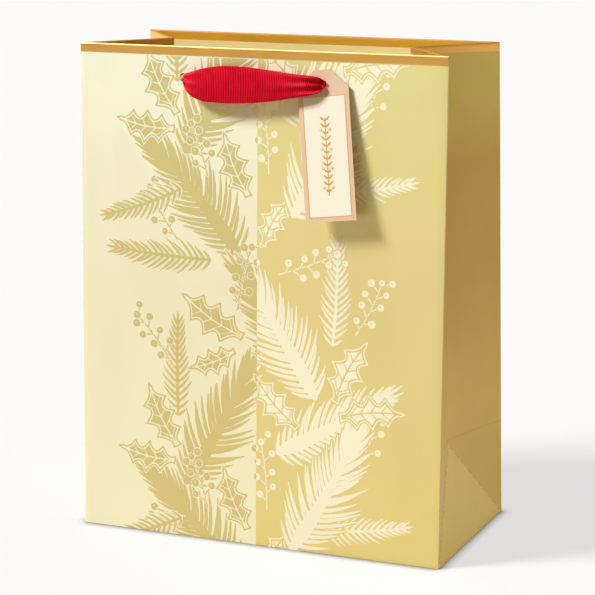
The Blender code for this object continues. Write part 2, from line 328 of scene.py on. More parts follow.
def face_outwards(thing, merge=None):
    """Turns a closed mesh's faces outwards. Points closer than merge become one first."""
    bm = bmesh.new()
    bm.from_mesh(thing.data)
    if merge:
        bmesh.ops.remove_doubles(bm, verts=bm.verts, dist=merge)
    bmesh.ops.recalc_face_normals(bm, faces=bm.faces)
    bm.to_mesh(thing.data)
    bm.free()


def grid_normals(grid):
    along = np.gradient(grid, axis=0)
    across = np.gradient(grid, axis=1)
    normal = np.cross(across, along)
    return normal / np.maximum(np.linalg.norm(normal, axis=2, keepdims=True), 1e-12)


def shell(name, grid, thickness, materials, slot_of, back_slot, smooth_angle=40):
    """A closed thin sheet. grid is its outer face, rows by columns, and slot_of gives the
    material slot of each of that face's cells. Its side edges take the slot of the cell beside
    them, and its other face and its first and last edges take back_slot."""
    grid = np.asarray(grid, float)
    rows, columns = grid.shape[:2]
    inner = grid - grid_normals(grid) * thickness
    points = np.concatenate([grid.reshape(-1, 3), inner.reshape(-1, 3)])
    count = rows * columns
    index = np.arange(count).reshape(rows, columns)
    faces, slots = [], []
    for i in range(rows - 1):
        for j in range(columns - 1):
            cell = (index[i, j], index[i, j + 1], index[i + 1, j + 1], index[i + 1, j])
            faces.append(tuple(int(v) for v in cell))
            slots.append(slot_of(i, j))
            faces.append(tuple(int(v) + count for v in reversed(cell)))
            slots.append(back_slot)
    last_row, last_column = rows - 1, columns - 1
    edge = [(0, j) for j in range(last_column)] + [(i, last_column) for i in range(last_row)]
    edge += [(last_row, j) for j in range(last_column, 0, -1)] + [(i, 0) for i in range(last_row, 0, -1)]
    for (i, j), (k, m) in zip(edge, edge[1:] + edge[:1]):
        first, second = int(index[i, j]), int(index[k, m])
        faces.append((second, first, first + count, second + count))
        slots.append(slot_of(min(i, k), min(j, last_column - 1)) if j == m else back_slot)
    return add_mesh(name, points, faces, materials, slots, smooth_angle)


def punch(thing, places, radius):
    """Round holes through a piece. Each place is a point and the hole's direction."""
    for place, direction in places:
        bm = bmesh.new()
        turn = Vector(direction).to_track_quat("Z", "Y").to_matrix().to_4x4()
        bmesh.ops.create_cone(bm, cap_ends=True, segments=32, radius1=radius, radius2=radius,
                              depth=12 * MM, matrix=Matrix.Translation(place) @ turn)
        cutter = add_bmesh("punch", bm)
        boolean = thing.modifiers.new("punch", "BOOLEAN")
        boolean.object = cutter
        bpy.context.view_layer.update()
        cut = bpy.data.meshes.new_from_object(thing.evaluated_get(bpy.context.evaluated_depsgraph_get()))
        thing.modifiers.clear()
        thing.data = cut
        bpy.data.objects.remove(cutter)


# --- folded paper ---
def ripple(x, height):
    """How far a panel's paper stands out of its plane: long shallow waves, none at its edges."""
    across = np.clip((WIDTH / 2 - np.abs(x)) / (30 * MM), 0, 1)
    up = np.clip(height / (20 * MM), 0, 1)
    wave = (np.sin(x * 21 + height * 9) + 0.7 * np.sin(height * 31 - x * 13 + 1.2)
            + 0.4 * np.sin(x * 63 + height * 27))
    return RIPPLE_HEIGHT * wave * across * up


def turned_profile():
    """How a sheet goes up the outside, over the rim and down the inside: its height below the
    rim, negative, its depth into the bag, and the zone that the step up to there belongs to."""
    steps = [(-h, 0.0, "print") for h in np.linspace(LENGTH, 0.012, 60)]
    steps += [(-FOIL_BAND, 0.0, "print")]
    steps += [(-h, 0.0, "foil") for h in np.linspace(FOIL_BAND, RIM_RADIUS, 5)[1:]]
    for angle in np.linspace(0, pi, 9)[1:]:
        zone = "edge" if 0.33 < angle / pi < 0.95 else "foil"
        steps.append((-RIM_RADIUS * (1 - sin(angle)), RIM_RADIUS * (1 - cos(angle)), zone))
    steps += [(-h, 2 * RIM_RADIUS, "inner foil") for h in np.linspace(RIM_RADIUS, FOIL_BAND, 4)[1:]]
    steps += [(-h, 2 * RIM_RADIUS, "hem") for h in np.linspace(0.010, HEM, 6)]
    return steps


ZONE_SLOTS = {"foil": 2, "edge": 3, "inner foil": 4, "hem": 5}
PROFILE = turned_profile()


def panel_columns():
    """Places across a panel, close together at its rounded sides."""
    arc = [WIDTH / 2 - CORNER + CORNER * sin(a) for a in np.linspace(0, pi / 2, 6)]
    flat = list(np.linspace(0, WIDTH / 2 - CORNER, 26))
    half = flat + arc[1:]
    return [-x for x in reversed(half[1:])] + half


def make_panel(body, face, left_ground, right_ground, edge):
    """A big panel with its rim turned in: one sheet, in two grounds that meet in the middle."""
    columns = panel_columns()
    grid = []
    for height, depth, _ in PROFILE:
        turned = min(1.0, depth / (2 * RIM_RADIUS))
        row = []
        for x in columns:
            past = max(0.0, abs(x) - (WIDTH / 2 - CORNER))
            back = CORNER - math.sqrt(max(0.0, CORNER**2 - past**2))
            inset = x * (1 - turned * 2 * PANEL_HEM_INSET / WIDTH)
            lift = ripple(inset, LENGTH + height)
            row.append(face.at(inset, LENGTH + height, lift - depth - back * (1 - turned)))
        grid.append(row)

    def slot_of(i, j):
        zone = PROFILE[i + 1][2]
        if zone == "print":
            return 0 if columns[j] + columns[j + 1] < 0 else 1
        return ZONE_SLOTS[zone]

    finishes = [left_ground, right_ground, FOIL, edge, INNER_FOIL, LIT_INNER_GOLD, WHITE]
    sheet = shell(f"{body}_paper", grid, SHEET, finishes, slot_of, len(finishes) - 1)
    punch(sheet, [(face.at(side * HOLE_X, HOLE_HEIGHT), face.out) for side in (-1, 1)], HOLE_RADIUS)
    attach(sheet, body)
    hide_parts(f"{body}_panel", f"{body}_hem")


make_panel("front", FRONT, CREAM, GOLD, RIM_EDGE)
make_panel("back", BACK, GOLD, CREAM, BACK_RIM_EDGE)


# --- gussets ---
FRONT_RIM = FRONT.at(0, LENGTH)
BACK_RIM = BACK.at(0, LENGTH)
MOUTH_DEPTH = BACK_RIM.y - FRONT_RIM.y
TIP_INSET = math.sqrt((DEPTH / 2) ** 2 - (MOUTH_DEPTH / 2) ** 2)
APEX_INSET = foot_high.x - foot_low.x
APEX_HEIGHT = math.sqrt((DEPTH / 2) ** 2 - APEX_INSET**2)

GUSSET_SAG = 0.9 * MM               # a half bows outwards this much between its creases
GUSSET_COLUMNS = 15
HEM_FROM, HEM_TO = 0.05, 1.012      # the turned rim's sides, in parts of a half's width
FOOT_ROWS, FOOT_COLUMNS = 24, 15
FOOT_TOP = 0.99                     # the foot stops just short of its apex
WORN_WIDTH = 1.8 * MM               # the creases beside the foot are rubbed pale


def make_gusset_half(name, body, face, hand, apex, tip, ground):
    """The part of a gusset between a panel and the inward crease, from apex to tip. hand is 1 or
    -1 for the side of that panel's face that it is on."""
    corner, rim_corner = (face.at(hand * WIDTH / 2, height, -CORNER) for height in (0, LENGTH))
    inward = (tip - corner).cross(rim_corner - apex).normalized()
    if inward.dot(Vector((0, 0, LENGTH / 2)) - corner) < 0:
        inward.negate()
    grid = []
    for height, depth, _ in PROFILE:
        v = 1 + height / LENGTH
        turned = min(1.0, depth / (2 * RIM_RADIUS))
        first, last = corner.lerp(rim_corner, v), apex.lerp(tip, v)
        row = []
        for u in np.linspace(0, 1, GUSSET_COLUMNS):
            inset = u + turned * (HEM_FROM + (HEM_TO - HEM_FROM - 1) * u)
            sag = GUSSET_SAG * sin(pi * u) * sin(pi * min(1, v))
            row.append(first.lerp(last, inset) + inward * (depth - sag))
        grid.append(row if hand > 0 else row[::-1])

    def slot_of(i, j):
        zone = PROFILE[i + 1][2]
        return 0 if zone == "print" else ZONE_SLOTS[zone] - 1

    finishes = [ground, LIT_SIDE_FOIL, LIT_SIDE_FOIL, SHADED_SIDE_INNER_FOIL, LIT_INNER_GOLD, WHITE]
    half = shell(f"{name}_gusset_{body}_paper", grid, SHEET, finishes, slot_of, len(finishes) - 1)
    start = face.at(0, LENGTH / 2)
    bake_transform(half)
    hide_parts(f"{name}_gusset_{body}_half", f"{name}_gusset_{body}_hem")


def make_gusset_foot(name, side, apex, ground):
    """The triangle that the bottom fold leaves at the foot of a gusset."""
    corners = FRONT.at(side * WIDTH / 2, 0, -CORNER), BACK.at(-side * WIDTH / 2, 0, -CORNER)
    rows = []
    for v in np.linspace(0, FOOT_TOP, FOOT_ROWS):
        first, last = (corner.lerp(apex, v) for corner in corners)
        worn = min(0.3, WORN_WIDTH / (last - first).length)
        row = [first.lerp(last, u) for u in (0, *np.linspace(worn, 1 - worn, FOOT_COLUMNS), 1)]
        rows.append(row if side > 0 else row[::-1])
    foot = shell(f"{name}_gusset_foot_paper", rows, SHEET, [ground, WORN.material, WHITE],
                 lambda i, j: 1 if j in (0, FOOT_COLUMNS) else 0, 2)
    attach(foot, "base")
    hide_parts(f"{name}_gusset_foot")


def make_gusset(side, name, ground, foot_ground):
    """One side of the bag: two halves that meet at the inward crease, over a foot triangle."""
    apex = Vector((side * (WIDTH / 2 - APEX_INSET), 0, APEX_HEIGHT))
    tip = Vector((side * (WIDTH / 2 - TIP_INSET), *((FRONT_RIM + BACK_RIM) / 2).yz))
    make_gusset_half(name, "front", FRONT, side, apex, tip, ground)
    make_gusset_half(name, "back", BACK, -side, apex, tip, ground)
    make_gusset_foot(name, side, apex, foot_ground)


make_gusset(-1, "left", SHADED_GUSSET_CREAM, SHADED_GUSSET_CREAM)
make_gusset(1, "right", GUSSET_GOLD_PAINTED_SHADING, LIT_FOOT_GOLD)


# --- flat shapes drawn as fields ---
# The print and the tag are drawn in millimetres: x across from the middle, y up.
PRINT_CELL = 0.25
MOTIF_GAP = 0.75                    # ground left round a motif that lies over another


class Drawing:
    """An ink field on a regular grid: above zero inside the ink, in millimetres."""

    def __init__(self, low, high, cell=PRINT_CELL):
        self.low = np.array(low, float)
        self.cell = cell
        columns, rows = ((np.array(high) - self.low) / cell).astype(int) + 1
        self.shape = (rows, columns)
        self.ink = np.full(self.shape, -9.0)
        self.body = np.full(self.shape, -9.0)

    def whole(self):
        return self.window(self.low, self.low + self.cell * np.array(self.shape[::-1]))

    def window(self, low, high):
        """The cells within a box and their coordinates. Outside the drawing there are none."""
        first = np.floor((np.array(low) - self.low) / self.cell).astype(int)
        last = np.ceil((np.array(high) - self.low) / self.cell).astype(int) + 1
        first = np.maximum(first, 0)
        last = np.maximum(first, np.minimum(last, self.shape[::-1]))
        x = self.low[0] + self.cell * np.arange(first[0], last[0])
        y = self.low[1] + self.cell * np.arange(first[1], last[1])
        return (slice(first[1], last[1]), slice(first[0], last[0])), x[None, :], y[:, None]

    def over(self, cells, ink, body, gap):
        """Lays a shape over what is there, with a gap of bare ground round it."""
        self.ink[cells] = np.maximum(np.minimum(self.ink[cells], -(body + gap)), ink)
        self.body[cells] = np.maximum(self.body[cells], body)

    def stroke(self, start, end, start_radius, end_radius, gap=-math.inf):
        """A tapered stroke, joined to what it meets unless there is a gap."""
        reach = max(start_radius, end_radius) + 1.5
        cells, x, y = self.window(np.minimum(start, end) - reach, np.maximum(start, end) + reach)
        shape = stroke_field(x, y, start, end, start_radius, end_radius)
        self.over(cells, shape, shape, gap)

    def lay(self, other):
        """Lays a whole finished drawing over this one."""
        self.over((slice(None), slice(None)), other.ink, other.body, MOTIF_GAP)


def stroke_field(x, y, start, end, start_radius, end_radius):
    """Distance inside a stroke that tapers from one radius to another."""
    run = np.array(end, float) - np.array(start, float)
    along = ((x - start[0]) * run[0] + (y - start[1]) * run[1]) / max(1e-9, run @ run)
    along = np.clip(along, 0, 1)
    away = np.hypot(x - start[0] - along * run[0], y - start[1] - along * run[1])
    return start_radius + (end_radius - start_radius) * along - away


def polygon_field(x, y, points):
    """Distance inside a polygon, negative outside it."""
    nearest = np.full(np.broadcast(x, y).shape, 1e9)
    inside = np.zeros(nearest.shape, bool)
    for (ax, ay), (bx, by) in zip(points, np.roll(points, -1, axis=0)):
        ex, ey = bx - ax, by - ay
        t = np.clip(((x - ax) * ex + (y - ay) * ey) / max(1e-9, ex * ex + ey * ey), 0, 1)
        nearest = np.minimum(nearest, (x - ax - t * ex) ** 2 + (y - ay - t * ey) ** 2)
        if abs(ey) > 1e-12:
            inside ^= ((ay > y) != (by > y)) & (x < ex * (y - ay) / ey + ax)
    return np.where(inside, 1, -1) * np.sqrt(nearest)


# The edges of a grid cell are 0 low, 1 right, 2 high and 3 left. For each set of inside
# corners, the edges that the outline runs between, with the inside on its left.
CELL_RUNS = {1: [(0, 3)], 2: [(1, 0)], 3: [(1, 3)], 4: [(2, 1)], 5: [(0, 3), (2, 1)], 6: [(2, 0)],
             7: [(2, 3)], 8: [(3, 2)], 9: [(0, 2)], 10: [(1, 0), (3, 2)], 11: [(1, 2)],
             12: [(3, 1)], 13: [(0, 1)], 14: [(3, 0)]}


def outlines(field, low, cell):
    """Closed outlines of the places where a field is above zero, by marching squares."""
    field = np.pad(np.where(np.abs(field) < 1e-6, 1e-6, field), 1, constant_values=-1.0)
    inside = field > 0
    rows, columns = field.shape
    code = (inside[:-1, :-1] + 2 * inside[:-1, 1:] + 4 * inside[1:, 1:] + 8 * inside[1:, :-1])
    upright = rows * columns
    follow = {}
    for case, runs in CELL_RUNS.items():
        i, j = np.nonzero(code == case)
        edge = (i * columns + j, upright + i * columns + j + 1, (i + 1) * columns + j,
                upright + i * columns + j)
        for first, second in runs:
            follow.update(zip(edge[first].tolist(), edge[second].tolist()))
    loops = []
    while follow:
        start, after = follow.popitem()
        loop = [start]
        while after != start:
            loop.append(after)
            after = follow.pop(after)
        loops.append(np.array(loop))
    placed = []
    for loop in loops:
        standing = loop >= upright
        i, j = np.divmod(np.where(standing, loop - upright, loop), columns)
        near = field[i, j]
        far = np.where(standing, field[np.minimum(i + 1, rows - 1), j],
                       field[i, np.minimum(j + 1, columns - 1)])
        part = near / (near - far)
        x = low[0] + cell * (j - 1 + np.where(standing, 0, part))
        y = low[1] + cell * (i - 1 + np.where(standing, part, 0))
        loop = thinned(np.stack([x, y], axis=1))
        if len(loop) > 3:
            placed.append(loop)
    return placed


def thinned(loop, tolerance=0.035, passes=5):
    """Drops every other point that lies on the line between its neighbours, a few times over."""
    for _ in range(passes):
        if len(loop) < 8:
            break
        before, after = np.roll(loop, 1, axis=0), np.roll(loop, -1, axis=0)
        chord = after - before
        size = np.maximum(np.hypot(*chord.T), 1e-9)
        off = np.abs(chord[:, 0] * (loop - before)[:, 1] - chord[:, 1] * (loop - before)[:, 0]) / size
        keep = (off > tolerance) | (np.arange(len(loop)) % 2 == 0)
        loop = loop[keep]
    return loop


def inlay(name, field, low, cell, place, under, over, finish, spacing=8.0):
    """A thin closed solid of the shape that a field draws. place(x, y, height) puts a point of the
    drawing on the surface, all in millimetres, and the solid stands from under to over on it."""
    points, edges = [], []
    for loop in outlines(field, low, cell):
        first = len(points)
        count = len(loop)
        points += [Vector(p) for p in loop]
        edges += [(first + k, first + (k + 1) % count) for k in range(count)]
    high = np.array(low) + cell * (np.array(field.shape[::-1]) - 1)

    # Points inside the shape, so that its triangles stay small enough to follow the surface.
    spread = np.stack(np.meshgrid(np.arange(low[0], high[0], spacing),
                                  np.arange(low[1], high[1], spacing)), axis=-1).reshape(-1, 2)
    j, i = ((spread - low) / cell).round().astype(int).T
    points += [Vector(p) for p in spread[field[i, j] > 0.4]]
    flat, _, triangles, *_ = delaunay_2d_cdt(points, edges, [], 0, 1e-5, False)
    flat = np.array([tuple(p) for p in flat])
    triangles = np.array(triangles)
    middle = flat[triangles].mean(axis=1)
    triangles = triangles[read_field(field, low, cell, middle) > 0]
    used, triangles = np.unique(triangles, return_inverse=True)
    flat, triangles = flat[used], triangles.reshape(-1, 3)
    count = len(flat)
    top = [place(x, y, over) for x, y in flat]
    bottom = [place(x, y, under) for x, y in flat]
    sides = np.concatenate([triangles[:, [0, 1]], triangles[:, [1, 2]], triangles[:, [2, 0]]])
    known = {tuple(side) for side in sides.tolist()}
    walls = [(b, a, a + count, b + count) for a, b in known if (b, a) not in known]
    faces = triangles.tolist() + (triangles[:, ::-1] + count).tolist() + walls
    return add_mesh(name, top + bottom, faces, [finish], None, 30)


def read_field(field, low, cell, places):
    """The field at any places, between its grid points."""
    u = np.clip((places[:, 0] - low[0]) / cell, 0, field.shape[1] - 1.001)
    v = np.clip((places[:, 1] - low[1]) / cell, 0, field.shape[0] - 1.001)
    j, i = u.astype(int), v.astype(int)
    u, v = u - j, v - i
    return ((field[i, j] * (1 - u) + field[i, j + 1] * u) * (1 - v)
            + (field[i + 1, j] * (1 - u) + field[i + 1, j + 1] * u) * v)


# --- the print: a band of pine, fir, holly and berries ---
PRINT_HALF_WIDTH = 116
UNIT_HEIGHT = 226                   # the drawing repeats up the bag


def heading(angle):
    return np.array([cos(math.radians(angle)), sin(math.radians(angle))])


def curved_stem(x, y, angle, length, bend, count):
    """Points along a stem that turns by bend degrees over its length, and its heading at each."""
    place, step = np.array([x, y], float), length / (count - 1)
    stem = []
    for i in range(count):
        now = angle + bend * i / (count - 1)
        stem.append((place.copy(), now))
        place += heading(now) * step
    return stem


def draw_needle(drawing, place, angle, size, curl, thickness):
    """A needle in three strokes that turns by curl at each and tapers to its tip."""
    for start, end, turn in ((1.0, 1.1, 0), (1.1, 0.85, 1), (0.85, 0.28, 2)):
        tip = place + heading(angle + curl * turn) * size / 3
        drawing.stroke(place, tip, thickness * start, thickness * end)
        place = tip


def draw_branch(drawing, x, y, angle, length, bend, rng, needle, spread, close, pitch, thickness, core):
    """A conifer branch: needles on both sides of a stem, from its foot to its tip. needle is their
    length in parts of the stem's, their angle to the stem goes from spread to close, and core is
    the stem's solid middle."""
    count = max(6, int(length / pitch))
    stem = curved_stem(x, y, angle, length, bend, count)
    for i, ((place, now), (ahead, _)) in enumerate(zip(stem, stem[1:])):
        t = i / (count - 1)
        thick = core * (1 - t) * min(1, 0.3 + 5 * t) + 0.7
        drawing.stroke(place, ahead, thick, thick)
    for i, (place, now) in enumerate(stem):
        t = i / (count - 1)
        reach = needle * length * min(1, 0.55 + 2.4 * t) * (1 - 0.45 * t ** 2)
        for side in (-1, 1):
            swing = side * (spread + (close - spread) * t + rng.uniform(-4, 4))
            size = reach * rng.uniform(0.82, 1.08)
            draw_needle(drawing, place, now + swing, size, -side * 7, thickness)
    place, now = stem[-1]
    draw_needle(drawing, place, now, needle * length * 0.6, 0, thickness)


CONIFERS = {"pine": dict(needle=0.36, spread=64, close=22, pitch=4.0, thickness=1.2, core=5.2),
            "fir": dict(needle=0.25, spread=58, close=34, pitch=3.9, thickness=0.85, core=0.5)}


def holly_outline(x, y, angle, length, width, spines=4):
    """A holly leaf: each side is a run of shallow scoops that end in spines."""
    forward, side = heading(angle), heading(angle + 90)
    half = []
    for k in range(spines + 1):
        t = k / spines
        swell = sin(pi * min(0.97, 0.06 + 0.90 * t)) ** 0.8
        half.append((t * length, width / 2 * swell))
    points = []
    for (u0, v0), (u1, v1) in zip(half, half[1:]):
        depth = 0.24 * width * (0.35 + 0.65 * sin(pi * (u0 + u1) / 2 / length))
        for f in np.linspace(0, 1, 7)[:-1]:
            scoop = sin(pi * f) * depth
            points.append((u0 + (u1 - u0) * f, v0 + (v1 - v0) * f - scoop))
    points.append((length * 1.05, 0.0))
    mirrored = [(u, -v) for u, v in reversed(points[:-1])]
    return np.array([[x, y] + forward * u + side * (v + leaf_curl(width, u / length))
                     for u, v in points + mirrored])


def leaf_curl(width, along):
    return 0.10 * width * sin(pi * min(1, along))


def draw_holly(drawing, x, y, angle, length, bend, rng):
    """An outlined leaf with a solid middle, cut by its midrib and side veins."""
    width = length * 0.56
    points = holly_outline(x, y, angle, length, width)
    cells, px, py = drawing.window(points.min(0) - 2, points.max(0) + 2)
    leaf = polygon_field(px, py, points)
    outline = 0.45 - np.abs(leaf - 0.45)
    middle = leaf - 1.9
    forward, side = heading(angle), heading(angle + 90)

    def on_midrib(t):
        return np.array([x, y]) + forward * length * t + side * leaf_curl(width, t)

    marks = np.linspace(0, 0.96, 7)
    ribs = [(on_midrib(a), on_midrib(b), 0.55, 0.45) for a, b in zip(marks, marks[1:])]
    for t in (0.16, 0.33, 0.50, 0.67):
        long = width * 0.32 * sin(pi * (t * 0.8 + 0.15))
        for hand in (-1, 1):
            ribs.append((on_midrib(t), on_midrib(t) + forward * length * 0.14 + side * hand * long,
                         0.4, 0.2))
    for rib in ribs:
        middle = np.minimum(middle, -stroke_field(px, py, *rib))
    drawing.over(cells, np.maximum(outline, middle), leaf, MOTIF_GAP)


def draw_berry(drawing, x, y, radius):
    """A solid berry with a small bare dot."""
    reach = radius + 1.5
    cells, px, py = drawing.window((x - reach, y - reach), (x + reach, y + reach))
    disc = radius - np.hypot(px - x, py - y)
    dot = 0.5 - np.hypot(px - x + radius * 0.18, py - y - radius * 0.18)
    drawing.over(cells, np.minimum(disc, -dot), disc, 0.6)


def draw_berries(drawing, x, y, angle, length, bend, rng):
    """A spray of berries: a thin stem with short stalks and a berry on the end of each."""
    stem = curved_stem(x, y, angle, length, bend, 9)
    for (first, _), (second, _) in zip(stem, stem[1:]):
        drawing.stroke(first, second, 0.5, 0.42, 0.5)
    ends = [stem[-1][0] + heading(stem[-1][1]) * 2]
    for i, (place, now) in enumerate(stem[1:]):
        hand = -1 if i % 2 else 1
        tip = place + heading(now + hand * rng.uniform(38, 62)) * rng.uniform(5.5, 9.0)
        drawing.stroke(place, tip, 0.42, 0.36, 0.5)
        ends.append(tip)
    for tip in ends:
        draw_berry(drawing, *tip, rng.uniform(2.1, 2.7))


# The motifs from back to front, each as its foot's x and y, its heading, its length, and how far it
# bends. Angles are in degrees.
UNIT = [
    ("fir", (-34, 192, 180, 68, -6), (-58, 84, 92, 62, -4), (-56, 12, 206, 56, -12),
     (54, 142, 84, 66, 8), (42, 16, 2, 62, 12)),
    ("berries", (-62, 118, 122, 40, 16), (-58, 204, 128, 38, -14), (74, 62, 66, 42, 14),
     (70, 150, 56, 38, 16)),
    ("pine", (16, 66, 26, 84, 10), (-14, 198, 126, 94, 14), (-52, 38, 56, 94, 10),
     (42, 106, 120, 94, 8), (26, 0, 56, 98, 12)),
    ("berries", (-36, 22, 104, 34, 12), (-14, 160, 82, 42, -12), (8, 26, 90, 44, 12),
     (16, 186, 18, 42, 8)),
    ("holly", (-58, 62, 118, 46, 0), (-60, 52, 172, 42, 0), (-10, 142, 150, 50, 0),
     (-16, 132, 204, 36, 0), (-6, 10, 114, 44, 0), (56, 104, 62, 46, 0), (60, 94, 8, 44, 0),
     (30, 84, 134, 44, 0), (4, 204, 60, 36, 0)),
]
MOTIF_REACH = 130                   # no motif goes further than this from its foot


def draw_band(height):
    """The whole band: the unit, repeated up the panel."""
    low, high = (-PRINT_HALF_WIDTH, 0), (PRINT_HALF_WIDTH, height)
    band = Drawing(low, high)
    for repeat in range(-1, int(height / UNIT_HEIGHT) + 1):
        rng = np.random.RandomState(11)
        for kind, (x, y, *shape) in ((kind, motif) for kind, *motifs in UNIT for motif in motifs):
            foot = y + repeat * UNIT_HEIGHT
            if foot - MOTIF_REACH > height or foot + MOTIF_REACH < 0:
                continue
            if kind in CONIFERS:
                own = Drawing(low, high)
                draw_branch(own, x, foot, *shape, rng, **CONIFERS[kind])
                band.lay(own)
            else:
                draw = draw_holly if kind == "holly" else draw_berries
                draw(band, x, foot, *shape, rng)
    return band


def make_print(body, face, left_ink, right_ink, band):
    """The band on one face, in one ink on each side of the middle."""
    x = band.whole()[1]

    def place(x, y, height):
        x, y = x * MM, y * MM
        return face.at(x, y, float(ripple(x, y)) + height * MM)

    for side, hand, finish in (("left", -1, left_ink), ("right", 1, right_ink)):
        field = np.minimum(band.ink, x * hand - 0.01)
        ink = inlay(f"{body}_{side}_print", field, band.low, band.cell, place, 0.02, 0.06, finish)
        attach(ink, body)


BAND = draw_band((LENGTH - FOIL_BAND) / MM - 0.3)
make_print("front", FRONT, GOLD_INK, CREAM_INK, BAND)
make_print("back", BACK, CREAM_INK, GOLD_INK, BAND)


# --- ribbon ---
RIBBON_THICKNESS = 0.5 * MM
RIB_PITCH = 1.2 * MM
RIB_DEPTH = 0.24 * MM
RIB_STEPS = 6                       # columns of a bow's mesh for each rib
RIBBON_WIDTH = 24 * MM
BOW_ROWS = 29
PLEAT_DEPTH = 2.2 * MM              # where a bow is gathered
HOLLOW_DEPTH = 2.6 * MM             # where the front bow turns into the tag's hole
HOLLOW_LENGTH = 11 * MM
TAIL_ROWS, TAIL_COLUMNS = 170, 61
GATHER_POINTS = 32                  # round a gathered bundle
KNOT_BANDS, KNOT_POINTS = 36, 64    # down a knot and round it


def smooth_rows(rows, count, places=2):
    """Numbers read at even steps along a smooth curve through rows. The first few numbers of a
    row are its place, which sets how far apart the rows are."""
    rows = np.array(rows, float)
    gaps = np.linalg.norm(np.diff(rows[:, :places], axis=0), axis=1)
    knots = np.concatenate([[0], np.cumsum(gaps)])
    slopes = np.gradient(rows, knots, axis=0)
    read = np.linspace(0, knots[-1], count)
    k = np.clip(np.searchsorted(knots, read, side="right") - 1, 0, len(knots) - 2)
    span = (knots[k + 1] - knots[k])[:, None]
    t = ((read - knots[k])[:, None]) / span
    curve = ((2 * t**3 - 3 * t**2 + 1) * rows[k] + (t**3 - 2 * t**2 + t) * span * slopes[k]
             + (3 * t**2 - 2 * t**3) * rows[k + 1] + (t**3 - t**2) * span * slopes[k + 1])
    return curve, knots[-1]


def make_bow(word, face, stations, into_tag):
    """The ribbon outside a panel. Each station is how far across and out of the panel the ribbon's
    middle is, with the heights of its top and bottom edges there, in millimetres. into_tag says
    that its last end is pushed into the tag's hole, so that the ribbon is hollow in front of it."""
    _, run = smooth_rows(stations, 2)
    columns = int(run * MM / RIB_PITCH * RIB_STEPS)
    curve = smooth_rows(stations, columns)[0] * MM
    last_end = stations[-1][0] * MM
    grid = np.zeros((BOW_ROWS, columns, 3))
    for j, (x, out, top, bottom) in enumerate(curve):
        gathered = 1 - np.clip((top - bottom) / RIBBON_WIDTH, 0, 1)
        rib = RIB_DEPTH * abs(sin(pi * j / RIB_STEPS))
        near_end = max(0, 1 - (last_end + 1 * MM - x) / HOLLOW_LENGTH) if into_tag else 0
        for i, v in enumerate(np.linspace(-1, 1, BOW_ROWS)):
            cup = -1.3 * MM * (1 - gathered) * v * v
            pleat = PLEAT_DEPTH * gathered * (0.15 + gathered) * cos(2.5 * pi * v + 0.4)
            slack = 0.35 * MM * sin(x / MM * 0.11 + 2.2 * v) * (1 - gathered)
            hollow = -HOLLOW_DEPTH * near_end * (1 - v * v)
            middle, half = (top + bottom) / 2, (top - bottom) / 2
            grid[i, j] = face.at(x, middle + half * v, out + cup + pleat + slack + rib + hollow)
    # The grooves between ribs and the last of the front bow by the tag take the darker red as painted
    # shade.
    shaded_end_from = last_end - 1.5 * MM if into_tag else math.inf

    def slot_of(i, j):
        return 1 if j % RIB_STEPS in (0, RIB_STEPS - 1) or curve[j][0] > shaded_end_from else 0

    bow = shell(f"{word}_ribbon_bow", grid, RIBBON_THICKNESS, [RED, RED_GROOVE_SHADE], slot_of, 0, 60)
    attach(bow, f"{word}_handle")
    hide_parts(f"{word}_ribbon")


HOLE_AT = HOLE_X / MM
AXIS_AT = HOLE_HEIGHT / MM
TAG_AT = TAG_HOLE.x / MM
# across, out, top edge, bottom edge, above the handle's axis
FRONT_BOW = [(-HOLE_AT + 1.2, 0.4, 1.3, -1.2), (-HOLE_AT + 1.6, 2.8, 2.3, -3.2),
             (-HOLE_AT + 3.6, 5.2, 3.0, -7.0), (-46, 7.4, 4.2, -10.5), (-38, 8.8, 6.6, -13.7),
             (-26, 9.4, 8.9, -14.7), (-8, 9.7, 9.5, -14.3), (10, 9.5, 8.1, -12.6),
             (27, 8.8, 6.3, -9.6), (TAG_AT - 9, 7.8, 5.5, -7.8), (TAG_AT - 4, 6.6, 5.0, -6.6),
             (TAG_AT - 0.8, 5.4, 4.2, -5.2), (TAG_AT + 1.3, 4.4, 2.6, -3.0),
             (TAG_AT + 1.4, 3.3, 1.6, -1.6), (TAG_AT + 0.4, 2.6, 1.0, -1.0)]
BACK_HALF = [(-HOLE_AT + 0.3, 0.4, 1.2, -1.2), (-HOLE_AT + 0.9, 2.8, 2.6, -3.2),
             (-HOLE_AT + 3.2, 5.2, 4.4, -6.4), (-44, 7.4, 8.0, -11.2), (-30, 9.0, 10.6, -13.4)]
BACK_BOW = BACK_HALF + [(0, 9.7, 11.2, -13.9)] + [(-x, *rest) for x, *rest in reversed(BACK_HALF)]
for word, face, bow in (("front", FRONT, FRONT_BOW), ("back", BACK, BACK_BOW)):
    stations = [(x, out, AXIS_AT + top, AXIS_AT + bottom) for x, out, top, bottom in bow]
    make_bow(word, face, stations, into_tag=word == "front")


